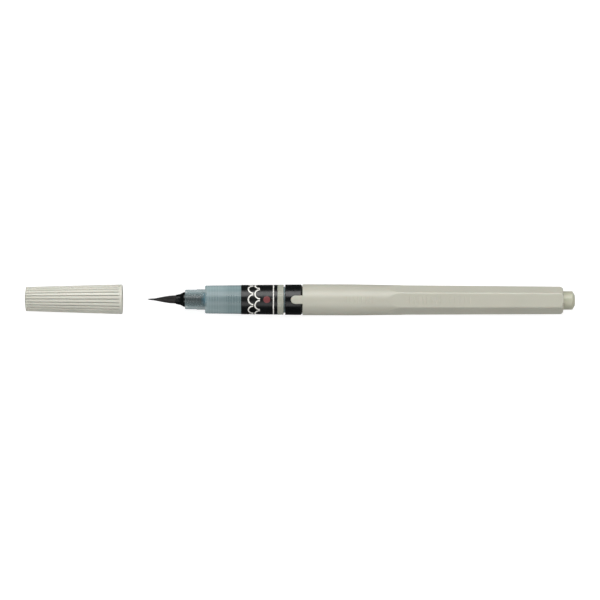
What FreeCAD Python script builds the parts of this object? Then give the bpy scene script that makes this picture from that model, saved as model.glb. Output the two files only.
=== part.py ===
"""Refillable brush pen with a squeeze barrel, lying on its side with its ribbed push-on cap pulled off.

Millimetres. The pen's axis runs along X, with the cap and the brush towards -X and the tail towards +X; +Z is up.
The origin is on the surface that the pen lies on, below the middle of the whole length, cap included.
Every piece is first modelled about the X axis and is lifted by AXIS_HEIGHT when it is written.
"""

import FreeCAD, Part
import math
import os

from FreeCAD import Vector

# --- driving lengths along the axis, from the cap's crown to the tail ----------------------------
CAP_LENGTH = 38.5
CAP_GAP = 9.75            # from the cap's mouth to the tip of the tuft, with the cap off
TUFT_LENGTH = 11.2
CONE_LENGTH = 3.65
NOSE_LENGTH = 7.9
GRIP_LENGTH = 14.2
LABEL_LENGTH = 14.3
RIM_LENGTH = 2.4
NECK_LENGTH = 0.65
COLLAR_LENGTH = 6.8
BARREL_LENGTH = 102.7
PLUG_LENGTH = 4.6

# --- driving radii -------------------------------------------------------------------------------
BARREL_RADIUS = 6.1       # at the collar, where the barrel is round
BARREL_ROUND_END_RADIUS = 5.88
CORNER_RADIUS_FRONT = 5.78    # axis to a rounded corner of the hexagon, where it starts
CORNER_RADIUS_REAR = 5.43
CORNER_ROUNDING = 1.0
COLLAR_RADIUS = 5.98
RIM_RADIUS = 5.9
NECK_RADIUS = 5.15
GRIP_FRONT_RADIUS = 5.5
GRIP_REAR_RADIUS = 5.66
LABEL_THICKNESS = 0.07
NOSE_RADIUS = 3.86
NOSE_LAND_RADIUS = 4.0
CONE_FRONT_RADIUS = 1.8
CONE_REAR_RADIUS = 2.9
PLUG_RADIUS = 3.63
CAP_CROWN_RADIUS = 4.75
CAP_MOUTH_RADIUS = 5.86

# --- the barrel, in lengths from its front edge --------------------------------------------------
STRAIGHT_STRETCH = 20.0   # to where its slight taper begins
ROUND_LENGTH = 34.2       # to the end of its round stretch
FLAT_START = 40.5         # to where the flats reach their full width
RUNOUT_RADIUS = 30.0      # of the arc in which a flat runs out forwards
TAIL_CHAMFER = 0.9
TANK_RADIUS_FRONT, TANK_RADIUS_REAR = 4.3, 4.0
TAIL_BORE = 3.3
TAIL_BORE_LENGTH = 5.0

# --- threads between the front section and the collar --------------------------------------------
PITCH = 1.5
THREAD_TURNS = 3
MALE_ROOT, MALE_CREST = 4.62, 4.95
FEMALE_CREST, FEMALE_ROOT = 4.75, 5.05
THREAD_START = 0.9        # from the collar's front face to the first turn of the male thread

# --- fits ----------------------------------------------------------------------------------------
RUNNING_GAP = 0.03        # between faces of two bodies that meet at a stop
KEY_GAP = 0.06            # between the barrel's tongues and the collar's notches

AXIS_HEIGHT = BARREL_RADIUS

# --- stations along X ----------------------------------------------------------------------------
SPANS = [CAP_LENGTH, CAP_GAP, TUFT_LENGTH, CONE_LENGTH, NOSE_LENGTH, GRIP_LENGTH, LABEL_LENGTH, RIM_LENGTH,
         NECK_LENGTH, COLLAR_LENGTH, BARREL_LENGTH, PLUG_LENGTH]
STATIONS = [-sum(SPANS) / 2]
for span in SPANS:
    STATIONS.append(STATIONS[-1] + span)
(X_CROWN, X_MOUTH, X_TIP, X_CONE, X_NOSE, X_SHOULDER, X_LABEL, X_RIM,
 X_NECK, X_COLLAR, X_BARREL, X_TAIL, X_END) = STATIONS

X_AXIS = Vector(1, 0, 0)
CENTRE = Vector(0, 0, 0)


# --- helpers -------------------------------------------------------------------------------------
def rounded_outline(corners):
    """A closed wire in the XZ plane from (x, radius) or (x, radius, rounding) corners."""
    count = len(corners)
    points = [Vector(c[0], 0, c[1]) for c in corners]
    starts, ends, arcs = [], [], []
    for i, corner in enumerate(corners):
        rounding = corner[2] if len(corner) > 2 else 0
        here = points[i]
        if not rounding:
            starts.append(here)
            ends.append(here)
            arcs.append(None)
            continue
        back = (points[i - 1] - here).normalize()
        ahead = (points[(i + 1) % count] - here).normalize()
        half = back.getAngle(ahead) / 2
        reach = rounding / math.tan(half)
        inward = (back + ahead).normalize()
        middle = here + inward * (rounding / math.sin(half) - rounding)
        starts.append(here + back * reach)
        ends.append(here + ahead * reach)
        arcs.append(middle)
    edges = []
    for i in range(count):
        if arcs[i] is not None:
            edges.append(Part.Arc(starts[i], arcs[i], ends[i]).toShape())
        a, b = ends[i], starts[(i + 1) % count]
        if (b - a).Length > 1e-6:
            edges.append(Part.LineSegment(a, b).toShape())
    return Part.Wire(edges)


def turned(corners):
    """The solid that a closed outline of (x, radius) corners makes when it is turned about the X axis."""
    return Part.Face(rounded_outline(corners)).revolve(CENTRE, X_AXIS, 360)


def between(x, x0, y0, x1, y1):
    """The value at x on the straight line through (x0, y0) and (x1, y1)."""
    return y0 + (y1 - y0) * (x - x0) / (x1 - x0)


def thread_ridge(root, crest, x_start, turns, widen):
    """A right-hand helical ridge about the X axis, with flanks widened by that much on each side."""
    base_half, crest_half = 0.45 + widen, 0.2 + widen
    sunk = root - 0.15
    helix = Part.makeHelix(PITCH, PITCH * turns, sunk)
    profile = Part.makePolygon([
        Vector(sunk, 0, -base_half), Vector(crest, 0, -crest_half), Vector(crest, 0, crest_half),
        Vector(sunk, 0, base_half), Vector(sunk, 0, -base_half)])
    ridge = Part.Wire(helix).makePipeShell([profile], True, True)
    ridge.rotate(CENTRE, Vector(0, 1, 0), 90)
    ridge.translate(Vector(x_start, 0, 0))
    return ridge


def slot_bar(clearance):
    """A bar through the axis along Z, in the plan of the barrel's tongues: straight sides, round front."""
    half = TONGUE_WIDTH / 2 + clearance
    x_round = X_BARREL - TONGUE_LENGTH + TONGUE_WIDTH / 2
    x_rear = X_BARREL + 2
    edges = [
        Part.LineSegment(Vector(x_rear, half, 0), Vector(x_round, half, 0)).toShape(),
        Part.Arc(Vector(x_round, half, 0), Vector(x_round - half, 0, 0), Vector(x_round, -half, 0)).toShape(),
        Part.LineSegment(Vector(x_round, -half, 0), Vector(x_rear, -half, 0)).toShape(),
        Part.LineSegment(Vector(x_rear, -half, 0), Vector(x_rear, half, 0)).toShape()]
    bar = Part.Face(Part.Wire(edges)).extrude(Vector(0, 0, 20))
    bar.translate(Vector(0, 0, -10))
    return bar


# --- the cap -------------------------------------------------------------------------------------
CAP_WALL = 0.95
CAP_END_WALL = 1.2
CAP_DOME = 0.45
CAP_LIP = 1.15            # smooth band at the mouth, past the ends of the ribs
LIP_ROUNDING = 0.55
FLUTES = 24
FLUTE_WIDTH_REAR, FLUTE_WIDTH_FRONT = 0.55, 0.45
FLUTE_DEPTH = 0.3


def cap_outer_radius(x):
    return between(x, X_CROWN, CAP_CROWN_RADIUS, X_MOUTH, CAP_MOUTH_RADIUS)


def cap_inner_radius(x):
    return cap_outer_radius(x) - CAP_WALL


def cap_flute():
    """One V groove down the top of the cap's cone, from beyond the crown to the lip."""
    def section(x, width):
        radius = cap_outer_radius(x)
        return Part.makePolygon([
            Vector(x, -width / 2, radius + 0.02), Vector(x, 0, radius - FLUTE_DEPTH),
            Vector(x, width / 2, radius + 0.02), Vector(x, 0, radius + 0.6),
            Vector(x, -width / 2, radius + 0.02)])
    x_front, x_rear = X_CROWN - 1, X_MOUTH - CAP_LIP
    return Part.makeLoft([section(x_front, FLUTE_WIDTH_FRONT), section(x_rear, FLUTE_WIDTH_REAR)], True, True)


def cap_shell():
    """Ribbed tapered tube with a slightly domed crown and a rounded lip."""
    x_dome = X_CROWN + CAP_DOME
    x_floor = X_CROWN + CAP_END_WALL
    x_lip = X_MOUTH - LIP_ROUNDING
    lip_radius = cap_outer_radius(x_lip)
    dome_radius = CAP_CROWN_RADIUS - 0.12
    slant = LIP_ROUNDING * math.sin(math.pi / 4)
    dome = Part.Arc(Vector(X_CROWN, 0, 0), Vector(X_CROWN + CAP_DOME / 4, 0, dome_radius / 2),
                    Vector(x_dome, 0, dome_radius)).toShape()
    lip = Part.Arc(Vector(x_lip, 0, lip_radius),
                   Vector(x_lip + slant, 0, lip_radius - LIP_ROUNDING + slant),
                   Vector(X_MOUTH, 0, lip_radius - LIP_ROUNDING)).toShape()
    outside = [
        Vector(x_dome, 0, dome_radius), Vector(x_dome + 0.12, 0, cap_outer_radius(x_dome + 0.12)),
        Vector(x_lip, 0, lip_radius)]
    inside = [
        Vector(X_MOUTH, 0, lip_radius - LIP_ROUNDING), Vector(X_MOUTH, 0, cap_inner_radius(X_MOUTH)),
        Vector(x_floor, 0, cap_inner_radius(x_floor)), Vector(x_floor, 0, 0), Vector(X_CROWN, 0, 0)]
    edges = [dome, lip]
    for line in (outside, inside):
        edges += [Part.LineSegment(a, b).toShape() for a, b in zip(line, line[1:])]
    face = Part.Face(Part.Wire(Part.__sortEdges__(edges)))
    flutes = []
    for k in range(FLUTES):
        flute = cap_flute()
        flute.rotate(CENTRE, X_AXIS, 360 * k / FLUTES)
        flutes.append(flute)
    return face.revolve(CENTRE, X_AXIS, 360).cut(flutes)


LINER_WALL = 0.55
LINER_FIT = 0.02          # gap between the liner and the shell
LINER_LENGTH = 31.0
LINER_SET_BACK = 0.35     # from the cap's mouth to the liner's mouth


def inner_cap():
    """Soft liner cup that seals on the nose: a tight land at its mouth and a tapered well for the tuft."""
    x_mouth = X_MOUTH - LINER_SET_BACK
    x_end = X_MOUTH - LINER_LENGTH
    x_land = X_MOUTH - 3.1
    x_nose_end = X_MOUTH - NOSE_LENGTH - 0.6
    land, guide = NOSE_LAND_RADIUS + 0.03, NOSE_RADIUS + 0.08

    def outside(x):
        return cap_inner_radius(x) - LINER_FIT
    return turned([
        (x_mouth, land + 0.35), (x_mouth, outside(x_mouth)), (x_end, outside(x_end), 0.5), (x_end, 0),
        (x_end + LINER_WALL, 0), (x_end + LINER_WALL, outside(x_end) - LINER_WALL, 0.4),
        (x_nose_end, min(guide, outside(x_nose_end) - LINER_WALL)), (x_land - 0.3, guide), (x_land, land),
        (x_mouth - 0.5, land)])


# --- the brush -----------------------------------------------------------------------------------
TUFT_RADIUS = 1.6
SOCKET_RADIUS = 1.7      # of the round seat in the ferrule, in which the tuft tilts
BUTT_RADIUS = 1.45
BUTT_FLANGE_RADIUS = 1.85


def brush_tuft():
    """Pointed tuft with a fine tip. Its base is a half ball about the point where the bristles bend."""
    outline = [(0, 0), (0.35, 0.16), (1.2, 0.3), (2.8, 0.45), (4.8, 0.86), (6.8, 1.22), (9.0, 1.5),
               (TUFT_LENGTH, TUFT_RADIUS)]
    curve = Part.BSplineCurve()
    curve.interpolate([Vector(X_TIP + along, 0, radius) for along, radius in outline])
    half_ball = Part.Arc(Vector(X_CONE, 0, TUFT_RADIUS),
                         Vector(X_CONE + TUFT_RADIUS * math.sin(math.pi / 4), 0, TUFT_RADIUS * math.cos(math.pi / 4)),
                         Vector(X_CONE + TUFT_RADIUS, 0, 0)).toShape()
    closing = Part.LineSegment(Vector(X_CONE + TUFT_RADIUS, 0, 0), Vector(X_TIP, 0, 0)).toShape()
    face = Part.Face(Part.Wire([curve.toShape(), half_ball, closing]))
    return face.revolve(CENTRE, X_AXIS, 360)


X_BUTT = X_CONE + 2.0     # front of the bound part of the tuft
X_BUTT_FLANGE = X_NOSE + 3.4
X_BUTT_END = X_BUTT_FLANGE + 0.7
X_FERRULE_END = X_NOSE + 6.4


def tuft_butt():
    """Bound root of the tuft: straight bristles that are fused into a flange at the rear."""
    return turned([
        (X_BUTT, 0), (X_BUTT, BUTT_RADIUS), (X_BUTT_FLANGE, BUTT_RADIUS), (X_BUTT_FLANGE, BUTT_FLANGE_RADIUS),
        (X_BUTT_END, BUTT_FLANGE_RADIUS), (X_BUTT_END, 0)])


def brush_ferrule():
    """Black cone that holds the tuft, with a shank in the nose."""
    body = turned([
        (X_CONE, 0), (X_CONE, CONE_FRONT_RADIUS), (X_CONE + 1.9, 2.2, 2.5), (X_NOSE - 0.5, CONE_REAR_RADIUS, 0.4),
        (X_NOSE - 0.02, CONE_REAR_RADIUS), (X_NOSE - 0.02, 2.55), (X_FERRULE_END, 2.55, 0.3), (X_FERRULE_END, 0)])
    seat = Part.makeSphere(SOCKET_RADIUS, Vector(X_CONE, 0, 0))
    bore = turned([
        (X_CONE, 0), (X_CONE, BUTT_RADIUS + 0.03), (X_BUTT_FLANGE, BUTT_RADIUS + 0.03),
        (X_BUTT_FLANGE, BUTT_FLANGE_RADIUS + 0.03), (X_FERRULE_END + 1, BUTT_FLANGE_RADIUS + 0.03),
        (X_FERRULE_END + 1, 0)])
    return body.cut([seat, bore])


# --- the front section ---------------------------------------------------------------------------
SHELL_BORE = 4.2
NOSE_BORE = 3.1
NOSE_LIP_BORE = 2.6
NOSE_LIP = 0.8
SPIGOT_LENGTH = 6.2       # from the collar's front face
LABEL_SEAT_FRONT, LABEL_SEAT_REAR = 5.73, 5.81
X_SPIGOT_END = X_COLLAR + SPIGOT_LENGTH


def front_section():
    """Clear grey shell: nose, shoulder, grip, label seat, ring seat, neck and threaded spigot."""
    body = turned([
        (X_NOSE, NOSE_LIP_BORE), (X_NOSE, NOSE_RADIUS - 0.02, 0.4), (X_SHOULDER - 3.4, NOSE_RADIUS),
        (X_SHOULDER - 3.1, NOSE_LAND_RADIUS), (X_SHOULDER, NOSE_LAND_RADIUS),
        (X_SHOULDER, GRIP_FRONT_RADIUS, 0.4), (X_LABEL, GRIP_REAR_RADIUS), (X_LABEL, LABEL_SEAT_FRONT),
        (X_RIM, LABEL_SEAT_REAR), (X_RIM, NECK_RADIUS), (X_COLLAR - RUNNING_GAP, NECK_RADIUS),
        (X_COLLAR - RUNNING_GAP, MALE_ROOT),
        (X_SPIGOT_END, MALE_ROOT, 0.15), (X_SPIGOT_END, SHELL_BORE), (X_SHOULDER + 1.3, SHELL_BORE, 0.3),
        (X_SHOULDER + 0.9, NOSE_BORE), (X_NOSE + NOSE_LIP, NOSE_BORE), (X_NOSE + NOSE_LIP, NOSE_LIP_BORE)])
    ridge = thread_ridge(MALE_ROOT, MALE_CREST, X_COLLAR + THREAD_START, THREAD_TURNS, 0)
    return body.fuse(ridge)


WICK_RADIUS = 0.95
WICK_BORE = 1.0
FIN_RADIUS = 4.1
FIN_THICKNESS = 0.38
FRONT_FINS, FRONT_FIN_PITCH = 4, 0.75
REAR_FINS, REAR_FIN_PITCH = 24, 0.96
FEED_CORE_RADIUS = 2.6
FEED_DRUM_RADIUS = 3.75
AIR_SLOT_WIDTH, AIR_SLOT_FLOOR = 0.6, 2.1
X_FRONT_FINS = X_SHOULDER + 2.1
X_REAR_FINS = X_SHOULDER + 8.4
X_FEED_END = X_BARREL + 3.6


def ink_feed():
    """Finned collector that holds back surplus ink, with a hollow core for the wick."""
    outline = [(X_BUTT_END + 0.05, WICK_BORE), (X_BUTT_END + 0.05, BUTT_FLANGE_RADIUS - 0.02),
               (X_FERRULE_END + 0.05, BUTT_FLANGE_RADIUS - 0.02), (X_FERRULE_END + 0.05, FEED_CORE_RADIUS)]
    rows = ((X_FRONT_FINS, FRONT_FINS, FRONT_FIN_PITCH), (X_REAR_FINS, REAR_FINS, REAR_FIN_PITCH))
    for x_first, count, pitch in rows:
        for k in range(count):
            x = x_first + k * pitch
            outline += [(x, FEED_CORE_RADIUS), (x, FIN_RADIUS), (x + FIN_THICKNESS, FIN_RADIUS),
                        (x + FIN_THICKNESS, FEED_CORE_RADIUS)]
        if x_first == X_FRONT_FINS:
            x_drum = x_first + (count - 1) * pitch + FIN_THICKNESS + 0.5
            outline += [(x_drum, FEED_CORE_RADIUS), (x_drum, FEED_DRUM_RADIUS, 0.2),
                        (X_REAR_FINS - 0.6, FEED_DRUM_RADIUS, 0.2), (X_REAR_FINS - 0.6, FEED_CORE_RADIUS)]
    outline += [(X_FEED_END - 2, FEED_CORE_RADIUS), (X_FEED_END, 1.8), (X_FEED_END, WICK_BORE)]
    length = X_FEED_END - X_FRONT_FINS
    corner = Vector(X_FRONT_FINS - 1, -AIR_SLOT_WIDTH / 2, AIR_SLOT_FLOOR)
    air_slot = Part.makeBox(length, AIR_SLOT_WIDTH, 3, corner)
    return turned(outline).cut(air_slot)


def relay_wick():
    """Fibre rod that carries ink from the tank to the root of the tuft."""
    return turned([(X_BUTT_END + 0.03, 0), (X_BUTT_END + 0.03, WICK_RADIUS, 0.15),
                   (X_BARREL + 8.2, WICK_RADIUS, 0.4), (X_BARREL + 8.2, 0)])


RIM_GROOVES = 45
RIM_GROOVE_WIDTH, RIM_GROOVE_DEPTH = 0.3, 0.13


def rim_ring():
    """Pale ring behind the label, with fine grooves for the fingers that unscrew the section."""
    ring = turned([
        (X_RIM + 0.01, NECK_RADIUS + 0.01), (X_RIM + 0.01, RIM_RADIUS, 0.1), (X_NECK, RIM_RADIUS, 0.15),
        (X_NECK, NECK_RADIUS + 0.01)])
    half = RIM_GROOVE_WIDTH / 2
    top, floor = RIM_RADIUS + 0.03, RIM_RADIUS - RIM_GROOVE_DEPTH
    profile = Part.makePolygon([
        Vector(X_RIM + 0.4, -half, top), Vector(X_RIM + 0.4, 0, floor), Vector(X_RIM + 0.4, half, top),
        Vector(X_RIM + 0.4, -half, top)])
    grooves = []
    for k in range(RIM_GROOVES):
        groove = Part.Face(profile).extrude(Vector(RIM_LENGTH - 0.8, 0, 0))
        groove.rotate(CENTRE, X_AXIS, 360 * (k + 0.5) / RIM_GROOVES)
        grooves.append(groove)
    return ring.cut(grooves)


def label_sleeve():
    """Printed film around the front section."""
    x_front, x_rear = X_LABEL + 0.03, X_RIM - 0.03
    return turned([
        (x_front, LABEL_SEAT_FRONT + 0.001), (x_front, LABEL_SEAT_FRONT + LABEL_THICKNESS),
        (x_rear, LABEL_SEAT_REAR + LABEL_THICKNESS), (x_rear, LABEL_SEAT_REAR + 0.001)])


# --- the joint between section and barrel --------------------------------------------------------
LEDGE = 7.15              # from the collar's front face to the ledge that the washer is squeezed against
INSERT_RADIUS = 5.15      # of the collar's insert and of the barrel's mouth
INSERT_LENGTH = 7.0
INSERT_BORE = 3.8
NOTCH_FLOOR_RADIUS = 5.4
TONGUE_WIDTH, TONGUE_LENGTH = 3.46, 4.6
TONGUE_INNER_RADIUS = NOTCH_FLOOR_RADIUS + 0.04


def seal_washer():
    """Soft ring between the end of the spigot and the collar's ledge."""
    return turned([
        (X_SPIGOT_END + 0.02, SHELL_BORE + 0.05), (X_SPIGOT_END + 0.02, MALE_ROOT + 0.06, 0.12),
        (X_COLLAR + LEDGE - RUNNING_GAP, MALE_ROOT + 0.06, 0.12),
        (X_COLLAR + LEDGE - RUNNING_GAP, SHELL_BORE + 0.05)])


def thread_collar():
    """Black collar: a threaded ring with two notches, and an insert pressed into the barrel's mouth."""
    body = turned([
        (X_COLLAR, FEMALE_CREST, 0.15), (X_COLLAR, COLLAR_RADIUS, 0.15), (X_BARREL - 0.7, COLLAR_RADIUS + 0.03),
        (X_BARREL - 0.1, COLLAR_RADIUS - 0.5), (X_BARREL - 0.1, INSERT_RADIUS),
        (X_BARREL + INSERT_LENGTH, INSERT_RADIUS, 0.3), (X_BARREL + INSERT_LENGTH, INSERT_BORE),
        (X_COLLAR + LEDGE, INSERT_BORE), (X_COLLAR + LEDGE, FEMALE_CREST)])
    turns = THREAD_TURNS + 2 * THREAD_START / PITCH + 0.9
    groove = thread_ridge(FEMALE_CREST, FEMALE_ROOT, X_COLLAR - PITCH, turns, 0.1)
    groove.rotate(CENTRE, X_AXIS, 360 * (-PITCH - THREAD_START) / PITCH)
    core = Part.makeCylinder(NOTCH_FLOOR_RADIUS, 40, Vector(X_BARREL - 30, 0, 0), X_AXIS)
    notch = slot_bar(KEY_GAP).cut(core)
    return body.cut([groove, notch])


def metering_plug():
    """Disc with a small hole, which slows the ink that a squeeze drives to the wick."""
    x_front = X_BARREL + 4.6
    x_rear = X_BARREL + INSERT_LENGTH
    return turned([
        (x_front, 1.1, 0.2), (x_front, INSERT_BORE), (x_rear, INSERT_BORE), (x_rear, 1.1)])


# --- the barrel ----------------------------------------------------------------------------------
def apothem(corner_radius):
    """Axis to flat, for a hexagon with rounded corners at that radius."""
    return (corner_radius - CORNER_ROUNDING) * math.cos(math.radians(30)) + CORNER_ROUNDING


def flat_height(x):
    x_flat = X_BARREL + FLAT_START
    return between(x, x_flat, apothem(CORNER_RADIUS_FRONT), X_TAIL, apothem(CORNER_RADIUS_REAR))


def hexagon_slab():
    """Everything under one flat of the barrel. The flat runs out in a large arc where the barrel is round."""
    x_flat, x_far, x_near = X_BARREL + FLAT_START, X_TAIL + 5, X_BARREL - 12
    below, above = -9, 9
    slope = math.atan2(flat_height(x_far) - flat_height(x_flat), x_far - x_flat)
    start = Vector(x_flat, 0, flat_height(x_flat))
    centre = start + Vector(-math.sin(slope), 0, math.cos(slope)) * RUNOUT_RADIUS

    def on_arc(height):
        return Vector(centre.x - math.sqrt(RUNOUT_RADIUS ** 2 - (centre.z - height) ** 2), 0, height)
    top = on_arc(above)
    middle = on_arc((above + start.z) / 2)
    edges = [Part.Arc(top, middle, start).toShape()]
    corners = [start, Vector(x_far, 0, flat_height(x_far)), Vector(x_far, 0, below), Vector(x_near, 0, below),
               Vector(x_near, 0, above), top]
    edges += [Part.LineSegment(a, b).toShape() for a, b in zip(corners, corners[1:])]
    slab = Part.Face(Part.Wire(edges)).extrude(Vector(0, 40, 0))
    slab.translate(Vector(0, -20, 0))
    return slab


def hexagon_envelope():
    """Six slabs in common, with the long corners between the flats rounded."""
    slabs = []
    for k in range(6):
        slab = hexagon_slab()
        slab.rotate(CENTRE, X_AXIS, 60 * k)
        slabs.append(slab)
    body = slabs[0]
    for slab in slabs[1:]:
        body = body.common(slab)
    corners = []
    for edge in body.Edges:
        middle = edge.valueAt((edge.FirstParameter + edge.LastParameter) / 2)
        angle = math.degrees(math.atan2(middle.y, middle.z)) % 60
        along = abs(edge.Vertexes[0].X - edge.Vertexes[-1].X)
        if abs(angle - 30) < 0.5 and along > 1 and middle.x > X_BARREL + 10:
            corners.append(edge)
    return body.makeFillet(CORNER_ROUNDING, corners)


def barrel():
    """Soft squeeze barrel and ink tank: round in front, six-sided behind, with two tongues for the collar."""
    x_round_end = X_BARREL + ROUND_LENGTH
    outside = turned([
        (X_BARREL, 0), (X_BARREL, BARREL_RADIUS, 0.25), (X_BARREL + STRAIGHT_STRETCH, BARREL_RADIUS),
        (x_round_end, BARREL_ROUND_END_RADIUS), (X_TAIL - TAIL_CHAMFER, CORNER_RADIUS_REAR + 0.12, 0.3),
        (X_TAIL, CORNER_RADIUS_REAR - 1.0), (X_TAIL, 0)])
    body = outside.common(hexagon_envelope())
    ring = turned([
        (X_COLLAR, TONGUE_INNER_RADIUS), (X_COLLAR, COLLAR_RADIUS + 0.04), (X_BARREL + 1, COLLAR_RADIUS + 0.04),
        (X_BARREL + 1, TONGUE_INNER_RADIUS)])
    tongues = ring.common(slot_bar(0))
    tank = turned([
        (X_BARREL - 1, 0), (X_BARREL - 1, INSERT_RADIUS), (X_BARREL + INSERT_LENGTH + 0.5, INSERT_RADIUS),
        (X_BARREL + INSERT_LENGTH + 1.5, 5.0), (x_round_end - 6, 4.95), (x_round_end + 6, TANK_RADIUS_FRONT),
        (X_TAIL - TAIL_BORE_LENGTH - 0.8, TANK_RADIUS_REAR), (X_TAIL - TAIL_BORE_LENGTH, TAIL_BORE),
        (X_TAIL + 1, TAIL_BORE), (X_TAIL + 1, 0)])
    mouth_key = turned([
        (X_COLLAR - 1, 0), (X_COLLAR - 1, TONGUE_INNER_RADIUS), (X_BARREL + 0.2, TONGUE_INNER_RADIUS),
        (X_BARREL + 0.45, INSERT_RADIUS), (X_BARREL + 0.45, 0)])
    return body.fuse(tongues).cut([tank, mouth_key])


def tail_plug():
    """Hollow plug that closes the tank. Its head is a spigot for the cap when the pen is in use."""
    x_inner = X_TAIL - TAIL_BORE_LENGTH - 0.6
    return turned([
        (x_inner, TAIL_BORE - 0.9), (x_inner, TAIL_BORE - 0.15), (x_inner + 0.6, TAIL_BORE),
        (X_TAIL + 0.02, TAIL_BORE), (X_TAIL + 0.02, PLUG_RADIUS), (X_END - 0.95, PLUG_RADIUS, 0.5),
        (X_END, 2.0, 0.5), (X_END, 0), (X_END - 1.2, 0), (X_END - 1.2, TAIL_BORE - 0.9, 0.4)])


def ink_charge():
    """A fresh fill of ink, with the air that is left in the tank in front of it."""
    x_front = X_BARREL + INSERT_LENGTH + 9
    x_rear = X_TAIL - TAIL_BORE_LENGTH - 1.2
    x_round_end = X_BARREL + ROUND_LENGTH
    gap = 0.05
    return turned([
        (x_front, 0), (x_front, 4.95 - gap, 0.8), (x_round_end - 6, 4.95 - gap),
        (x_round_end + 6, TANK_RADIUS_FRONT - gap), (x_rear, TANK_RADIUS_REAR - gap), (x_rear, 0)])


PIECES = {
    "cap_shell": cap_shell,
    "inner_cap": inner_cap,
    "brush_tuft": brush_tuft,
    "tuft_butt": tuft_butt,
    "brush_ferrule": brush_ferrule,
    "front_section": front_section,
    "ink_feed": ink_feed,
    "relay_wick": relay_wick,
    "label_sleeve": label_sleeve,
    "rim_ring": rim_ring,
    "seal_washer": seal_washer,
    "thread_collar": thread_collar,
    "metering_plug": metering_plug,
    "barrel": barrel,
    "tail_plug": tail_plug,
    "ink_charge": ink_charge,
}

os.makedirs("parts", exist_ok=True)
for name, make in PIECES.items():
    piece = make()
    piece.translate(Vector(0, 0, AXIS_HEIGHT))
    solids = piece.Solids
    box = piece.BoundBox
    print(f"{name:14s} solids {len(solids)} valid {piece.isValid()} volume {piece.Volume:9.2f} "
          f"x {box.XMin:8.2f} {box.XMax:8.2f} z {box.ZMin:6.2f} {box.ZMax:6.2f}")
    shape = solids[0] if len(solids) == 1 else Part.makeCompound(solids)
    shape.exportStep(f"parts/{name}.step")
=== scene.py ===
"""Looks of the refillable brush pen, cap off: tuft, smoky section, printed sleeve, black collar, barrel.

Metres, in the CAD's frame: the pen's axis runs along X, the cap is towards -X and +Z is up.
"""

import math
import random

import bmesh
import bpy
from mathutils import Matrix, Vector


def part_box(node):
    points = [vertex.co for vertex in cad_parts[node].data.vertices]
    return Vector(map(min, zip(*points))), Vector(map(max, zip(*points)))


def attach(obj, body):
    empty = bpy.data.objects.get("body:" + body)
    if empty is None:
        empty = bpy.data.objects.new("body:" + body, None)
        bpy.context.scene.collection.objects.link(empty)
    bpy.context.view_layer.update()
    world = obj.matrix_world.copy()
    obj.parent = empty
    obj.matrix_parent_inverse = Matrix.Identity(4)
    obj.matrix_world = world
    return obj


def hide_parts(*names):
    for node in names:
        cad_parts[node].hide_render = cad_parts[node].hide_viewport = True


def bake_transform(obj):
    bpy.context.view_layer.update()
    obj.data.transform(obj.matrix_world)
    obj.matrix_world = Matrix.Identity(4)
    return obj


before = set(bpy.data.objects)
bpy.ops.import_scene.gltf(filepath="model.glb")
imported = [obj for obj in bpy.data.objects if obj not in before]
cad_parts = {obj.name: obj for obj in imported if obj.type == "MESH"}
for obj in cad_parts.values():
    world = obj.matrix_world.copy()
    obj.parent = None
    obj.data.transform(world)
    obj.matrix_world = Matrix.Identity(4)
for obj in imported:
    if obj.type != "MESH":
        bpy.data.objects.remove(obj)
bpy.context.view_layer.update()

MM = 0.001
random.seed(7)


def low(node):
    """The node's lowest corner."""
    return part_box(node)[0]


def high(node):
    """The node's highest corner."""
    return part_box(node)[1]


# --- stations along the pen and radii at them ---
SHOULDER_TO_LABEL, COLLAR_TO_BARREL = 14.23 * MM, 6.8 * MM
AXIS_Z = (low("barrel").z + high("barrel").z) / 2
X_CROWN, X_MOUTH = low("cap_shell").x, high("cap_shell").x
X_TIP = low("brush_tuft").x
X_CONE = low("brush_ferrule").x
X_LABEL, X_LABEL_END = low("label_sleeve").x, high("label_sleeve").x
X_SHOULDER = X_LABEL - SHOULDER_TO_LABEL
X_COLLAR = low("thread_collar").x
X_BARREL = X_COLLAR + COLLAR_TO_BARREL
X_TAIL = high("barrel").x
CAP_RADIUS_CROWN, CAP_RADIUS_MOUTH = 4.75 * MM, 5.86 * MM
SLEEVE_FRONT, SLEEVE_REAR = 5.8 * MM, 5.88 * MM

# --- materials ---
# Noise scales of moulded plastic: its cloudiness, uneven gloss, grain and flow marks.
CLOUD, GLOSS, GRAIN, FLOW = 90, 420, 4200, 70
GRAIN_HEIGHT = 0.0000025
# Stretches of a noise along the pen: a slight one and a long one.
DRAWN, LONG = (0.5, 1, 1), (0.12, 1, 1)
# The range that a noise mostly stays in.
NOISE_LOW, NOISE_HIGH = 0.3, 0.7
# The slight scatter of light in pale plastic.
SOFT = {"Subsurface_Weight": 0.05, "Subsurface_Scale": 0.0006}


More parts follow.
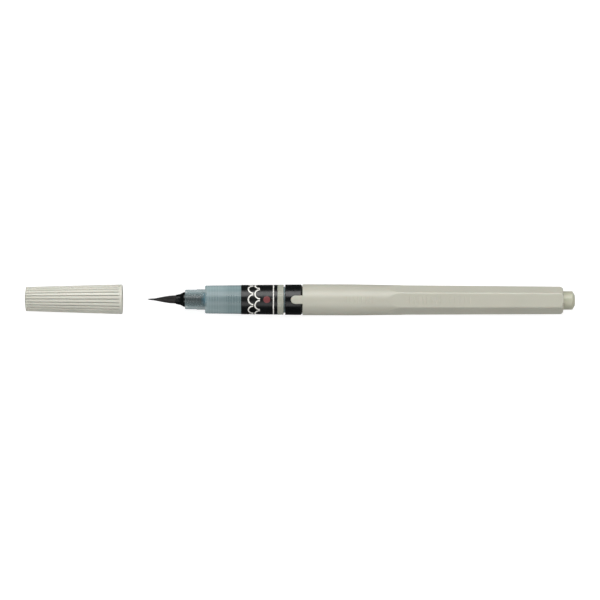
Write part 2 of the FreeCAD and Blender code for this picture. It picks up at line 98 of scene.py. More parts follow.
class Shader:
    """A principled material with a few calls for its procedural detail, in object coordinates."""

    def __init__(self, name, color, roughness, **sockets):
        self.material = bpy.data.materials.new(name)
        self.material.use_nodes = True
        self.tree = self.material.node_tree
        self.bsdf = self.tree.nodes["Principled BSDF"]
        self.bsdf.inputs["Base Color"].default_value = (*color, 1)
        self.bsdf.inputs["Roughness"].default_value = roughness
        for key, value in sockets.items():
            self.bsdf.inputs[key.replace("_", " ")].default_value = value
        self.coords = self.tree.nodes.new("ShaderNodeTexCoord")
        self.normal = None

    def link(self, a, b):
        self.tree.links.new(a, b)

    def noise(self, scale, stretch=(1, 1, 1), detail=3.0):
        mapping = self.tree.nodes.new("ShaderNodeMapping")
        mapping.inputs["Scale"].default_value = stretch
        node = self.tree.nodes.new("ShaderNodeTexNoise")
        node.inputs["Scale"].default_value = scale
        node.inputs["Detail"].default_value = detail
        node.inputs["Roughness"].default_value = 0.55
        self.link(self.coords.outputs["Object"], mapping.inputs["Vector"])
        self.link(mapping.outputs["Vector"], node.inputs["Vector"])
        return node.outputs["Fac"]

    def ramp(self, value, stops):
        node = self.tree.nodes.new("ShaderNodeValToRGB")
        elements = node.color_ramp.elements
        while len(elements) < len(stops):
            elements.new(0.5)
        for element, (place, color) in zip(elements, stops):
            element.position = place
            element.color = (*color, 1)
        self.link(value, node.inputs["Fac"])
        return node.outputs["Color"]

    def place(self):
        """The X, Y and Z outputs of the object coordinates."""
        node = self.tree.nodes.new("ShaderNodeSeparateXYZ")
        self.link(self.coords.outputs["Object"], node.inputs["Vector"])
        return node.outputs["X"], node.outputs["Y"], node.outputs["Z"]

    def remap(self, value, start, end, least=0.0, most=1.0):
        node = self.tree.nodes.new("ShaderNodeMapRange")
        for key, number in (("From Min", start), ("From Max", end), ("To Min", least), ("To Max", most)):
            node.inputs[key].default_value = number
        self.link(value, node.inputs["Value"])
        return node.outputs["Result"]

    def math(self, operation, *terms):
        """A math node over sockets and numbers."""
        node = self.tree.nodes.new("ShaderNodeMath")
        node.operation = operation
        for socket, term in zip(node.inputs, terms):
            if isinstance(term, (int, float)):
                socket.default_value = term
            else:
                self.link(term, socket)
        return node.outputs["Value"]

    def vary_color(self, value, stops):
        self.link(self.ramp(value, stops), self.bsdf.inputs["Base Color"])

    def vary_roughness(self, value, least, most):
        self.link(self.remap(value, NOISE_LOW, NOISE_HIGH, least, most), self.bsdf.inputs["Roughness"])

    def bump(self, value, height):
        node = self.tree.nodes.new("ShaderNodeBump")
        node.inputs["Distance"].default_value = height
        node.inputs["Strength"].default_value = 1.0
        self.link(value, node.inputs["Height"])
        if self.normal:
            self.link(self.normal, node.inputs["Normal"])
        self.normal = node.outputs["Normal"]
        self.link(self.normal, self.bsdf.inputs["Normal"])

    def moulded_skin(self, height):
        """A fine grain of that height, and long flow marks three times as high."""
        self.bump(self.noise(GRAIN, detail=2.0), height)
        self.bump(self.noise(FLOW, LONG, detail=1.0), height * 3)


def scaled(color, share):
    return tuple(min(1, c * share) for c in color)


def shades(color, spread):
    """Ramp stops from a little darker to a little lighter than the colour."""
    return [(NOISE_LOW, scaled(color, 1 - spread)), (NOISE_HIGH, scaled(color, 1 + spread))]


def moulded(name, color, roughness, spread=0.03, grain=GRAIN_HEIGHT, **sockets):
    """Moulded plastic: faint cloudiness, uneven gloss, a fine grain and long flow marks."""
    s = Shader(name, color, roughness, **sockets)
    s.vary_color(s.noise(CLOUD, DRAWN), shades(color, spread))
    s.vary_roughness(s.noise(GLOSS), roughness * 0.88, roughness * 1.12)
    s.moulded_skin(grain)
    return s.material


def bristle_material():
    """Ink-wet filaments: near black, with brownish grey streaks along them."""
    wet, damp, dry = (0.006, 0.006, 0.006), (0.02, 0.017, 0.016), (0.055, 0.046, 0.043)
    s = Shader("tuft_bristle", (0.012, 0.011, 0.011), 0.42, Specular_IOR_Level=0.5)
    s.vary_color(s.noise(1500, (0.05, 1, 1), detail=4.0), [(0.35, wet), (0.62, damp), (0.8, dry)])
    s.vary_roughness(s.noise(900, (0.08, 1, 1)), 0.3, 0.6)
    s.bump(s.noise(7000, (0.03, 1, 1), detail=2.0), 0.00001)
    return s.material


def smoky_material():
    """Smoky plastic over the feed: clear in the nose, and cloudy behind it with the fins as faint bands."""
    fin_pitch = 0.62 * MM
    front_fins_end, rear_fins_start = X_SHOULDER + 5.4 * MM, X_SHOULDER + 8.2 * MM
    shadow, light = (0.2, 0.28, 0.29), (0.385, 0.48, 0.49)
    s = Shader("smoky_translucent", (0.33, 0.39, 0.39), 0.24, IOR=1.49)
    x = s.place()[0]
    behind_nose = s.remap(x, X_SHOULDER - 0.2 * MM, X_SHOULDER + 0.8 * MM)
    rim = s.tree.nodes.new("ShaderNodeLayerWeight")
    rim.inputs["Blend"].default_value = 0.5
    cover = s.math("MULTIPLY_ADD", behind_nose, 0.44, 0.1)
    alpha = s.math("MULTIPLY_ADD", rim.outputs["Facing"], 1.05, cover)
    s.link(s.math("MINIMUM", alpha, 0.94), s.bsdf.inputs["Alpha"])
    bands = s.math("SINE", s.math("MULTIPLY", x, 2 * math.pi / fin_pitch))
    behind_front_fins = s.math("GREATER_THAN", x, front_fins_end)
    before_rear_fins = s.math("LESS_THAN", x, rear_fins_start)
    plain = s.math("MULTIPLY", behind_front_fins, before_rear_fins)
    fins = s.math("MULTIPLY", bands, s.math("SUBTRACT", behind_nose, plain))
    rear = s.remap(x, X_SHOULDER + 6.8 * MM, X_SHOULDER + 9.6 * MM, 0.0, -0.26)
    cloud = s.math("ADD", s.noise(70, DRAWN, detail=1.0), rear)
    s.vary_color(s.math("MULTIPLY_ADD", fins, 0.18, cloud), [(0.05, shadow), (0.8, light)])
    s.vary_roughness(s.noise(160, detail=1.0), 0.17, 0.22)
    s.bump(s.noise(140, (0.3, 1, 1), detail=1.0), 0.000002)
    return s.material


def feed_material():
    """Ink-stained feed: dark teal in the nose, paler behind it, and darker again at the rear fins."""
    pale = (0.05, 0.34, 0.5)
    stops = [(0.0, (0.003, 0.05, 0.07)), (0.44, (0.003, 0.055, 0.078)), (0.5, pale), (0.77, pale),
             (0.82, (0.02, 0.17, 0.25)), (1.0, (0.02, 0.16, 0.24))]
    s = Shader("feed_plastic_look", (0.1, 0.3, 0.4), 0.4)
    where = s.remap(s.place()[0], X_CONE, X_LABEL)
    s.vary_color(s.math("MULTIPLY_ADD", s.noise(260, (1, 0.3, 0.3)), 0.06, where), stops)
    s.vary_roughness(s.noise(500), 0.42, 0.5)
    s.bump(s.noise(900, detail=1.0), 0.000002)
    return s.material


def cap_material():
    """The cap's plastic, with painted shade down in the grooves and at the rim."""
    color = (0.56, 0.555, 0.485)
    # Shares of the colour along the tone; the two darkest stops are the painted shade.
    stops = ((0.15, 0.56), (0.35, 0.62), (0.62, 0.97), (0.85, 1.03))
    s = Shader("cap_plastic_look", color, 0.34, **SOFT)
    x, y, z = s.place()
    up = s.math("SUBTRACT", z, AXIS_Z)
    radius = s.math("SQRT", s.math("ADD", s.math("MULTIPLY", y, y), s.math("MULTIPLY", up, up)))
    outside = s.remap(x, X_CROWN, X_MOUTH, CAP_RADIUS_CROWN, CAP_RADIUS_MOUTH)
    # Painted shade: the colour darkens with the depth below the ribs' tops, so down in the grooves, on the
    # lip's rounding and in the bore, but not on the crown.
    deep = s.remap(s.math("SUBTRACT", outside, radius), 0.1 * MM, 0.45 * MM)
    unshaded = s.math("SUBTRACT", 1, s.math("MULTIPLY", deep, s.remap(x, X_CROWN, X_CROWN + 0.8 * MM)))
    tone = s.math("MULTIPLY_ADD", s.noise(CLOUD, DRAWN), 0.5, s.math("MULTIPLY", unshaded, 0.5))
    s.vary_color(tone, [(place, scaled(color, share)) for place, share in stops])
    s.vary_roughness(s.noise(GLOSS), 0.3, 0.38)
    s.moulded_skin(GRAIN_HEIGHT)
    return s.material


def film_material():
    """Printed sleeve: glossy black film with faint dust, orange peel and a slight draw round the girth."""
    color = (0.002, 0.0028, 0.003)
    s = Shader("sleeve_film", color, 0.3)
    s.vary_color(s.noise(300), shades(color, 0.25))
    s.vary_roughness(s.noise(700, (1, 0.4, 0.4)), 0.25, 0.33)
    s.bump(s.noise(1600, detail=1.0), 0.000005)
    return s.material


def print_material(name, color):
    """Screen print: slightly uneven cover and uneven gloss."""
    s = Shader(name, color, 0.45)
    s.vary_color(s.noise(2600, detail=4.0), shades(color, 0.14))
    s.vary_roughness(s.noise(1500), 0.38, 0.55)
    s.bump(s.noise(6000), 0.000004)
    return s.material


CAP = cap_material()
BARREL = moulded("barrel_plastic_look", (0.445, 0.438, 0.37), 0.32, **SOFT)
RING = moulded("ring_plastic_look", (0.34, 0.35, 0.29), 0.2, **SOFT)
PLUG = moulded("plug_plastic_look", (0.42, 0.42, 0.325), 0.32, **SOFT)
LINER = moulded("liner_plastic_look", (0.66, 0.65, 0.6), 0.45)
BLACK = moulded("black_plastic_look", (0.0012, 0.0022, 0.0023), 0.25, spread=0.2)
FEED = feed_material()
INK = moulded("ink_look", (0.006, 0.006, 0.008), 0.12, spread=0.2)
RUBBER = moulded("washer_rubber_look", (0.02, 0.02, 0.02), 0.7, spread=0.15, grain=0.00001)
SMOKY = smoky_material()
BRISTLE = bristle_material()
FILM = film_material()
WHITE_PRINT = print_material("white_print", (0.78, 0.77, 0.72))
RED_PRINT = print_material("red_print", (0.155, 0.036, 0.038))

NODE_MATERIALS = {
    "brush_ferrule": BLACK,
    "thread_collar": BLACK,
    "front_section": SMOKY,
    "ink_feed": FEED,
    "relay_wick": BRISTLE,
    "label_sleeve": FILM,
    "rim_ring": RING,
    "seal_washer": RUBBER,
    "metering_plug": LINER,
    "tail_plug": PLUG,
    "ink_charge": INK,
    "inner_cap": LINER,
    "tuft_butt": BRISTLE,
}


def finish_node(node, material):
    """Gives a CAD node its material."""
    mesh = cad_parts[node].data
    mesh.materials.clear()
    mesh.materials.append(material)


for node, material in NODE_MATERIALS.items():
    finish_node(node, material)


# --- mesh helpers ---
def new_object(name, bm, material):
    mesh = bpy.data.meshes.new(name)
    bm.normal_update()
    bm.to_mesh(mesh)
    bm.free()
    for polygon in mesh.polygons:
        polygon.use_smooth = True
    mesh.materials.append(material)
    obj = bpy.data.objects.new(name, mesh)
    bpy.context.collection.objects.link(obj)
    return obj


def on_axis(x, radius, angle):
    """The point at that radius and angle about the pen's axis. Angle 0 is up and 90 degrees is +Y."""
    return Vector((x, radius * math.sin(angle), AXIS_Z + radius * math.cos(angle)))


def turned_skin(bm, rings, segments):
    """Joins rings about the axis into one skin. A ring is a function of the angle: (x, radius)."""
    loops = []
    for ring in rings:
        loop = []
        for k in range(segments):
            angle = 2 * math.pi * k / segments
            x, radius = ring(angle)
            loop.append(bm.verts.new(on_axis(x, radius, angle)))
        loops.append(loop)
    for a, b in zip(loops, loops[1:]):
        for k in range(segments):
            j = (k + 1) % segments
            bm.faces.new((a[k], a[j], b[j], b[k]))
    return loops


def join_rows(bm, rows):
    """Joins rows of points into one open strip."""
    for a, b in zip(rows, rows[1:]):
        for k in range(len(a) - 1):
            bm.faces.new((a[k], a[k + 1], b[k + 1], b[k]))


def close_with_centre(bm, loop, x, flip):
    centre = bm.verts.new((x, 0, AXIS_Z))
    for k, vert in enumerate(loop):
        after = loop[(k + 1) % len(loop)]
        bm.faces.new((centre, after, vert) if flip else (centre, vert, after))


def between(x, x0, y0, x1, y1):
    """The height at x of the straight line through (x0, y0) and (x1, y1)."""
    return y0 + (y1 - y0) * (x - x0) / (x1 - x0)


def smooth_step(x, start, end):
    t = min(1, max(0, (x - start) / (end - start)))
    return t * t * (3 - 2 * t)


def span(a, b, count):
    return [a + (b - a) * k / (count - 1) for k in range(count)]


# --- the cap: broad ribs between narrow rounded grooves ---
CAP_WALL, CAP_LIP = 0.95 * MM, 0.55 * MM
CROWN_DOME, CROWN_GROOVE = 0.45 * MM, 0.12 * MM
RIBS, POINTS_PER_RIB = 24, 16
GROOVE_DEPTH, GROOVE_SHARE = 0.52 * MM, 0.42
CROWN_SHARES = (0.15, 0.4, 0.65, 0.85, 0.95)
# Stations behind the crown and how far the skin drops there, in millimetres: a soft edge, then two lines.
CROWN_STATIONS = ((0.42, 0.1), (0.55, 0.02), (0.8, 0), (1.1, 0), (1.16, 0.04), (1.24, 0.04), (1.3, 0),
                  (1.9, 0), (2.2, 0), (2.26, 0.035), (2.34, 0.035), (2.4, 0), (2.8, 0))
# Stations ahead of the mouth, in millimetres, and the share of the grooves' depth that is left there.
RIM_STATIONS = ((1.9, 1), (1.6, 0.95), (1.4, 0.75), (1.2, 0.4), (1.05, 0.1), (0.9, 0), (0.7, 0))
# The bore, from the mouth to its far end.
BORE_STATIONS = (X_MOUTH, X_MOUTH - 0.08 * MM, X_MOUTH - 3 * MM, X_CROWN + 12 * MM, X_CROWN + 1.25 * MM)


def groove_shape(angle):
    """1 at the bottom of a groove and 0 on a rib. A groove lies at angle 0."""
    turn = angle * RIBS / (2 * math.pi)
    off = abs(turn - round(turn)) * 2 / GROOVE_SHARE
    return (0.5 + 0.5 * math.cos(math.pi * off)) if off < 1 else 0


def cap_ring(x, drop, ribbed):
    radius = between(x, X_CROWN, CAP_RADIUS_CROWN, X_MOUTH, CAP_RADIUS_MOUTH) - drop
    return lambda angle: (x, radius - GROOVE_DEPTH * ribbed * groove_shape(angle))


def crown_ring(share):
    """A ring of the domed crown, at that share of its radius. The grooves start near its edge."""
    radius = CAP_RADIUS_CROWN * share
    x = X_CROWN + CROWN_DOME * share * share
    depth = CROWN_GROOVE * smooth_step(share, 0.6, 0.95)
    return lambda angle: (x, radius - depth * groove_shape(angle))


def build_cap():
    bm = bmesh.new()
    rings = [crown_ring(share) for share in CROWN_SHARES]
    for x, drop in CROWN_STATIONS:
        rings.append(cap_ring(X_CROWN + x * MM, drop * MM, 1))
    for x in span(X_CROWN + 4 * MM, X_MOUTH - 2.2 * MM, 24):
        rings.append(cap_ring(x, 0, 1))
    for back, ribbed in RIM_STATIONS:
        rings.append(cap_ring(X_MOUTH - back * MM, 0, ribbed))
    for degrees in range(0, 91, 15):
        turn = math.radians(degrees)
        rings.append(cap_ring(X_MOUTH - CAP_LIP * (1 - math.sin(turn)), CAP_LIP * (1 - math.cos(turn)), 0))
    for x in BORE_STATIONS:
        rings.append(cap_ring(x, CAP_WALL, 0))
    loops = turned_skin(bm, rings, RIBS * POINTS_PER_RIB)
    close_with_centre(bm, loops[0], X_CROWN, False)
    close_with_centre(bm, loops[-1], X_CROWN + 1.2 * MM, True)
    bmesh.ops.recalc_face_normals(bm, faces=bm.faces)
    obj = new_object("cap_ribbed", bm, CAP)
    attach(obj, "cap")
    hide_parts("cap_shell")


build_cap()

# --- the barrel: round in front, six soft flats behind ---
R_FRONT, R_ROUND_END = 6.1 * MM, 5.88 * MM
CORNER_FRONT, CORNER_REAR, CORNER_ROUNDING = 5.78 * MM, 5.43 * MM, 1.0 * MM
HALF_FLAT = math.radians(30)
FLAT_BLEND = 0.05 * MM
X_TAPER = X_BARREL + 20 * MM
X_ROUND_END = X_BARREL + 34.2 * MM
X_FLAT = X_BARREL + 40.5 * MM
RUNOUT_RADIUS = 30 * MM
BARREL_SEGMENTS = 360
EDGE_ROUNDING = 0.3 * MM
INSERT_RADIUS, TAIL_BORE = 5.15 * MM, 3.3 * MM
# Stations ahead of the tail and the largest radius there, in millimetres: a turned line, then the end band
# and its chamfer.
TAIL_STATIONS = ((1.3, 5.6), (1.22, 5.36), (1.14, 5.36), (1.06, 5.5), (0.9, 5.42), (0.7, 5.3), (0.45, 5.08),
                 (0.2, 4.84), (0.06, 4.68), (0, 4.5))
TONGUE_HALF, TONGUE_LENGTH = 1.73 * MM, 4.6 * MM
TONGUE_TOP, TONGUE_BOTTOM, TONGUE_SOFT = 6.03 * MM, 5.46 * MM, 0.34 * MM


def corner_radius(x):
    return between(x, X_FLAT, CORNER_FRONT, X_TAIL, CORNER_REAR)


def flat_height(x):
    """Axis to flat. In front of the flats it rises along the run-out's arc."""
    behind = max(x, X_FLAT)
    height = (corner_radius(behind) - CORNER_ROUNDING) * math.cos(HALF_FLAT) + CORNER_ROUNDING
    ahead = min(max(0, X_FLAT - x), RUNOUT_RADIUS * 0.99)
    return height + RUNOUT_RADIUS - math.sqrt(RUNOUT_RADIUS ** 2 - ahead ** 2)


def hexagon_radius(x, angle):
    """Polar radius of the hexagon with rounded corners at x. A flat faces angle 0."""
    height = flat_height(x)
    off = abs((math.degrees(angle) + 30) % 60 - 30)
    reach = (height - CORNER_ROUNDING) / math.cos(HALF_FLAT)
    tangent = math.degrees(math.atan2(reach * 0.5, height))
    if off <= tangent:
        return height / math.cos(math.radians(off))
    beta = math.radians(30 - off)
    return reach * math.cos(beta) + math.sqrt(CORNER_ROUNDING ** 2 - (reach * math.sin(beta)) ** 2)


def soft_min(a, b, blend):
    h = max(0, blend - abs(a - b)) / blend
    return min(a, b) - h * h * blend / 4


def barrel_radius(x, angle):
    round_radius = between(min(X_ROUND_END, max(X_TAPER, x)), X_TAPER, R_FRONT, X_ROUND_END, R_ROUND_END)
    return soft_min(round_radius, hexagon_radius(x, angle), FLAT_BLEND)


def barrel_ring(x, drop=0.0):
    return lambda angle: (x, barrel_radius(x, angle) - drop)


def cut_ring(x, cut):
    """A ring of the barrel, turned down to the radius cut where it is larger."""
    return lambda angle: (x, min(barrel_radius(x, angle), cut))


def plain_ring(x, radius):
    return lambda angle: (x, radius)


def build_barrel():
    bm = bmesh.new()
    rings = [plain_ring(X_BARREL, INSERT_RADIUS)]
    for degrees in (0, 20, 40, 60, 75, 90):
        turn = math.radians(degrees)
        x = X_BARREL + EDGE_ROUNDING * (1 - math.cos(turn))
        rings.append(barrel_ring(x, EDGE_ROUNDING * (1 - math.sin(turn))))
    stations = span(X_BARREL + 1.2 * MM, X_ROUND_END - 2 * MM, 14)
    stations += span(X_ROUND_END - 1.5 * MM, X_FLAT + 1 * MM, 22)
    stations += span(X_FLAT + 2 * MM, X_TAIL - 1.9 * MM, 40)
    for x in stations:
        rings.append(barrel_ring(x))
    for back, cut in TAIL_STATIONS:
        rings.append(cut_ring(X_TAIL - back * MM, cut * MM))
    rings.append(plain_ring(X_TAIL, TAIL_BORE))
    rings.append(plain_ring(X_TAIL - 1 * MM, TAIL_BORE))
    turned_skin(bm, rings, BARREL_SEGMENTS)
    for side in (0, math.pi):
        add_tongue(bm, side)
    bmesh.ops.recalc_face_normals(bm, faces=bm.faces)
    obj = new_object("barrel_body", bm, BARREL)
    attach(obj, "barrel_unit")
    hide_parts("barrel")


def tongue_path():
    """The tongue's edge, from root to root round its nose: (x, distance across, outward direction)."""
    root_x = X_BARREL + 0.4 * MM
    nose_x = X_BARREL - TONGUE_LENGTH + TONGUE_HALF
    path = []
    for x in span(root_x, nose_x, 9):
        path.append((x, TONGUE_HALF, Vector((0, 1))))
    for degrees in range(10, 180, 10):
        turn = math.radians(degrees)
        outward = Vector((-math.sin(turn), math.cos(turn)))
        path.append((nose_x - TONGUE_HALF * math.sin(turn), TONGUE_HALF * math.cos(turn), outward))
    for x in span(nose_x, root_x, 9):
        path.append((x, -TONGUE_HALF, Vector((0, -1))))
    return path


def add_tongue(bm, side):
    """Raised tongue in the collar's notch, with a rounded front and a soft edge all round."""
    path = tongue_path()
    count = len(path)
    drop = TONGUE_SOFT * 0.8
    levels = [(0, TONGUE_BOTTOM), (0, TONGUE_TOP - drop)]
    for degrees in (20, 40, 60, 75, 90):
        turn = math.radians(degrees)
        levels.append((TONGUE_SOFT * (1 - math.cos(turn)), TONGUE_TOP - drop * (1 - math.sin(turn))))
    for share in (0.6, 0.2):
        levels.append((TONGUE_HALF * (1 - share) + TONGUE_SOFT * share, TONGUE_TOP))
    rows = []
    for inset, radius in levels:
        row = []
        for x, across, outward in path:
            angle = side + (across - outward.y * inset) / radius
            row.append(bm.verts.new(on_axis(x - outward.x * inset, radius, angle)))
        rows.append(row)
    join_rows(bm, rows)
    inner = rows[-1]
    for k in range(count // 2):
        j = count - 1 - k
        if j - 1 > k + 1:
            bm.faces.new((inner[k], inner[k + 1], inner[j - 1], inner[j]))
        elif j - 1 == k + 1:
            bm.faces.new((inner[k], inner[k + 1], inner[j]))


build_barrel()


# --- marks: raised ones on the barrel and printed ones on the sleeve ---
def barrel_surface(x, s, height):
    """The barrel's round stretch, with s along the girth from the top."""
    return on_axis(x, barrel_radius(x, 0) + height, s / R_FRONT)


def flat_surface(x, s, height):
    """The barrel's upper flat, with s across it from the middle."""
    return Vector((x, s, AXIS_Z + flat_height(x) + height))


def sleeve_surface(x, s, height):
    """The printed sleeve, which widens a little towards the rear."""
    radius = between(x, X_LABEL, SLEEVE_FRONT, X_LABEL_END, SLEEVE_REAR)
    return on_axis(x, radius + height, s / SLEEVE_FRONT)


# Rows of raised bars, in millimetres: how many, the first one's place behind the barrel's front edge, their
# pitch, half length, half width and height, how deep the edge is sunk, and the surface that they stand on.
BAR_ROWS = ((8, 17.375, 1.5, 1.35, 0.3, 0.12, 0.02, barrel_surface),
            (8, 42.275, 1.7, 1.4, 0.36, 0.14, 0.01, flat_surface),
            (5, 58.175, 1.9, 1.3, 0.34, 0.1, 0.01, flat_surface))
# The print on the sleeve, in millimetres, with places behind the sleeve's front edge.
WAVES, WAVE_PLACES, WAVE_RADIUS, WAVE_HALF = 8, (4.795, 7.395), 1.95, 0.25
DISCS, DISC_PLACE, DISC_RADIUS = 3, 10.095, 1.35
HOOP_POINTS, HOOP_PLACE, HOOP_HALF = 96, 12.695, 0.2
PRINT_HEIGHT, PRINT_LIFT = 0.006 * MM, 0.012 * MM
GIRTH = 2 * math.pi * SLEEVE_FRONT / MM


def ribbon(bm, line, surface, height, base, across_points=5):
    """A stroke with a soft profile along line, whose points are (x, s, half width)."""
    rows = []
    for k, (x, s, half) in enumerate(line):
        before, after = line[max(0, k - 1)], line[min(len(line) - 1, k + 1)]
        along = Vector((after[0] - before[0], after[1] - before[1])).normalized()
        side = Vector((-along.y, along.x))
        row = []
        for j in range(across_points):
            t = 2 * j / (across_points - 1) - 1
            lift = base + height * math.sqrt(max(0, 1 - t * t))
            row.append(bm.verts.new(surface(x + side.x * half * t, s + side.y * half * t, lift)))
        rows.append(row)
    join_rows(bm, rows)


def bar_line(x, half_length, half_width, points=18):
    """A bar across the pen at x, with its sizes in millimetres. It is slightly wider near its start."""
    line = []
    for k in range(points):
        t = k / (points - 1)
        swell = math.sin(math.pi * min(1, t * 1.35 + 0.12)) if t < 0.65 else between(t, 0.65, 1.0, 1, 0.9)
        line.append((x, (-half_length + 2 * half_length * t) * MM, max(0.9, abs(swell)) * half_width * MM))
    return line


def disc_line(x, s, radius, points=32):
    """A filled disc as a ribbon along s."""
    line = []
    for k in range(points + 1):
        turn = math.pi * k / points
        line.append((x, (s - radius * math.cos(turn)) * MM, max(0.02, radius * math.sin(turn)) * MM))
    return line


def wave_line(x, s, radius, half, points=20):
    """Half circle that bulges towards -X, as one line of a wave."""
    line = []
    for k in range(points + 1):
        turn = math.pi * (k / points - 0.5)
        line.append((x - radius * math.cos(turn) * MM, (s + radius * math.sin(turn)) * MM, half * MM))
    return line


def build_raised_marks():
    """Plain even bars on the barrel."""
    bm = bmesh.new()
    for count, first, pitch, half_length, half_width, height, sunk, surface in BAR_ROWS:
        for k in range(count):
            line = bar_line(X_BARREL + (first + pitch * k) * MM, half_length, half_width)
            ribbon(bm, line, surface, height * MM, -sunk * MM)
    marks = new_object("barrel_raised_marks", bm, BARREL)
    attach(marks, "barrel_unit")


def build_white_print():
    """Two columns of waves round the sleeve, and a hoop."""
    bm = bmesh.new()
    for column, place in enumerate(WAVE_PLACES):
        for k in range(WAVES):
            s = (k + 0.5 * column) * (GIRTH / WAVES)
            line = wave_line(X_LABEL + place * MM, s, WAVE_RADIUS, WAVE_HALF)
            ribbon(bm, line, sleeve_surface, PRINT_HEIGHT, PRINT_LIFT)
    hoop = []
    for k in range(HOOP_POINTS + 1):
        hoop.append((X_LABEL + HOOP_PLACE * MM, GIRTH * MM * k / HOOP_POINTS, HOOP_HALF * MM))
    ribbon(bm, hoop, sleeve_surface, PRINT_HEIGHT, PRINT_LIFT)
    prints = new_object("sleeve_white_print", bm, WHITE_PRINT)
    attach(prints, "section")


def build_red_print():
    """Three discs round the sleeve."""
    bm = bmesh.new()
    for k in range(DISCS):
        line = disc_line(X_LABEL + DISC_PLACE * MM, GIRTH * k / DISCS, DISC_RADIUS)
        ribbon(bm, line, sleeve_surface, PRINT_HEIGHT, PRINT_LIFT, 11)
    disc = new_object("sleeve_red_print", bm, RED_PRINT)
    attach(disc, "section")


build_raised_marks()
build_white_print()
build_red_print()

# --- the tuft: filaments in locks over a core, from inside the ferrule to a long fine point ---
# Distance behind the tip and radius there, in millimetres.
TUFT_PROFILE = ((0, 0.05), (0.4, 0.16), (1.2, 0.3), (2.8, 0.42), (4.8, 0.82), (6.8, 1.2), (9.0, 1.54),
                (11.2, 1.69), (12.2, 1.6))
# Where the filaments start, behind the tip and inside the ferrule, in millimetres.
TUFT_ROOT = 12.0
STRAND_SIDES, STRAND_POINTS = 5, 17
LOCKS, STRANDS_PER_LOCK, CORE_STRANDS = 19, 15, 150
# The spread of a lock's filaments about its middle, in radians.
LOCK_SPREAD = 0.085


def tuft_radius(along):
    """Radius at that distance behind the tip, in millimetres."""
    for (x0, r0), (x1, r1) in zip(TUFT_PROFILE, TUFT_PROFILE[1:]):
        if along <= x1:
            return between(along, x0, r0, x1, r1)
    return TUFT_PROFILE[-1][1]


def tuft_line(along):
    """How far the middle of the tuft wanders off the axis, in millimetres."""
    return 0.06 * (1 - smooth_step(along, 0, 3.4)) - 0.03 * math.sin(math.pi * min(1, along / 7))


def add_strand(bm, angle, share, reach, thickness, wander):
    """One filament from the ferrule to near the tip, at that share of the tuft's radius."""
    rows = []
    for k in range(STRAND_POINTS):
        t = k / (STRAND_POINTS - 1)
        along = TUFT_ROOT + (reach - TUFT_ROOT) * t
        radius = tuft_radius(along) * share
        turn = angle + wander * math.sin(t * 5 + angle * 3) * 0.08
        centre = Vector((X_TIP + along * MM, (radius * math.sin(turn) + tuft_line(along)) * MM,
                         AXIS_Z + radius * math.cos(turn) * MM))
        half = thickness * (1 - 0.85 * smooth_step(t, 0.35, 1)) * MM
        row = []
        for j in range(STRAND_SIDES):
            about = 2 * math.pi * j / STRAND_SIDES
            row.append(bm.verts.new(centre + Vector((0, half * math.sin(about), half * math.cos(about)))))
        rows.append(row)
    join_rows(bm, [row + row[:1] for row in rows])
    bm.faces.new(rows[-1])


def build_tuft():
    bm = bmesh.new()
    for lock in range(LOCKS):
        lock_angle = 2 * math.pi * (lock + random.uniform(-0.2, 0.2)) / LOCKS
        lock_share = random.uniform(0.86, 0.97)
        for _ in range(STRANDS_PER_LOCK):
            angle = lock_angle + random.gauss(0, LOCK_SPREAD)
            off = abs(angle - lock_angle) / (math.pi / LOCKS)
            share = lock_share - 0.09 * min(1.5, off) ** 2 + random.uniform(-0.03, 0.02)
            reach = max(0.0, random.gauss(1.0, 1.1)) * share
            add_strand(bm, angle, share, reach, random.uniform(0.05, 0.075), random.uniform(-1, 1))
    for _ in range(CORE_STRANDS):
        angle = random.uniform(0, 2 * math.pi)
        share = math.sqrt(random.uniform(0, 0.7))
        reach = abs(random.gauss(0.2, 0.6))
        add_strand(bm, angle, share, reach, random.uniform(0.07, 0.11), random.uniform(-1, 1))
    bmesh.ops.recalc_face_normals(bm, faces=bm.faces)
    obj = new_object("tuft_filaments", bm, BRISTLE)
    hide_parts("brush_tuft")
    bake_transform(obj)


build_tuft()

# --- floor, light and camera ---
FLOOR_HALF, FLOOR_GLOW = 3.0, 0.72
WORLD_LIGHT = 0.06
VIEW_WIDTH, CAMERA_DISTANCE, SENSOR_WIDTH = 0.2364, 2.4, 36


def build_stage():
    bm = bmesh.new()
    bmesh.ops.create_grid(bm, x_segments=8, y_segments=8, size=FLOOR_HALF)
    grey, darker, lighter = (0.42, 0.42, 0.42), (0.415, 0.415, 0.415), (0.425, 0.425, 0.425)
    s = Shader("studio_light_table", grey, 0.9, Specular_IOR_Level=0.2, Emission_Strength=FLOOR_GLOW)
    s.bsdf.inputs["Emission Color"].default_value = (1, 1, 1, 1)
    s.vary_color(s.noise(6), [(NOISE_LOW, darker), (NOISE_HIGH, lighter)])
    floor = new_object("studio_floor", bm, s.material)
    floor.visible_glossy = False


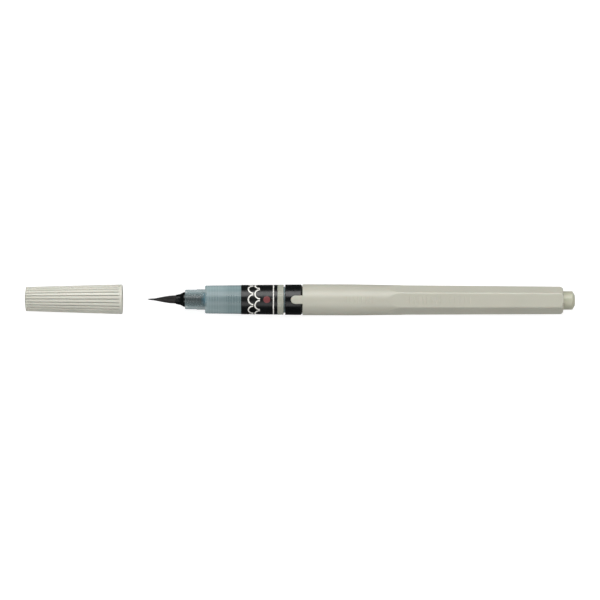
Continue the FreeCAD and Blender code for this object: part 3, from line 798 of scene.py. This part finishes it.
def build_world():
    """A dim world for the light, and a pale one as the backdrop that the camera sees."""
    world = bpy.data.worlds.new("studio_world")
    world.use_nodes = True
    tree = world.node_tree
    dim = tree.nodes["Background"]
    dim.inputs["Color"].default_value = (0.97, 0.985, 1, 1)
    dim.inputs["Strength"].default_value = WORLD_LIGHT
    pale = tree.nodes.new("ShaderNodeBackground")
    pale.inputs["Color"].default_value = (0.94, 0.945, 0.95, 1)
    seen = tree.nodes.new("ShaderNodeMixShader")
    tree.links.new(tree.nodes.new("ShaderNodeLightPath").outputs["Is Camera Ray"], seen.inputs[0])
    tree.links.new(dim.outputs[0], seen.inputs[1])
    tree.links.new(pale.outputs[0], seen.inputs[2])
    tree.links.new(seen.outputs[0], tree.nodes["World Output"].inputs["Surface"])
    bpy.context.scene.world = world


def area_light(name, place, size, watts, glossy=True):
    """A rectangular light aimed at the origin."""
    data = bpy.data.lights.new(name, "AREA")
    data.shape = "RECTANGLE"
    data.size, data.size_y = size
    data.energy = watts
    lamp = bpy.data.objects.new(name, data)
    lamp.location = place
    lamp.rotation_euler = (Vector((0, 0, 0)) - Vector(place)).to_track_quat("-Z", "Y").to_euler()
    lamp.visible_glossy = glossy
    bpy.context.collection.objects.link(lamp)


def build_light():
    area_light("key_strip", (0, 0.87, 0.83), (1.05, 0.88), 10.9)
    area_light("fill_strip", (0, -0.654, 1.006), (1.05, 0.7), 3.1)
    area_light("left_box", (-1.3, 0.0, 1.1), (0.9, 0.9), 13.2, glossy=False)
    area_light("right_box", (1.3, 0.0, 1.1), (0.9, 0.9), 13.2, glossy=False)
    bpy.context.scene.view_settings.view_transform = "Standard"


def build_camera():
    """Straight above the pen, and turned slightly against it."""
    data = bpy.data.cameras.new("camera")
    data.sensor_width = SENSOR_WIDTH
    data.lens = SENSOR_WIDTH * (CAMERA_DISTANCE - AXIS_Z) / VIEW_WIDTH
    data.clip_start, data.clip_end = 0.05, 20
    camera = bpy.data.objects.new("camera", data)
    camera.location = (0.00006, -0.0001, CAMERA_DISTANCE)
    camera.rotation_euler = (0, 0, math.radians(0.15))
    bpy.context.collection.objects.link(camera)
    bpy.context.scene.camera = camera


build_stage()
build_world()
build_light()
build_camera()

bpy.context.view_layer.update()
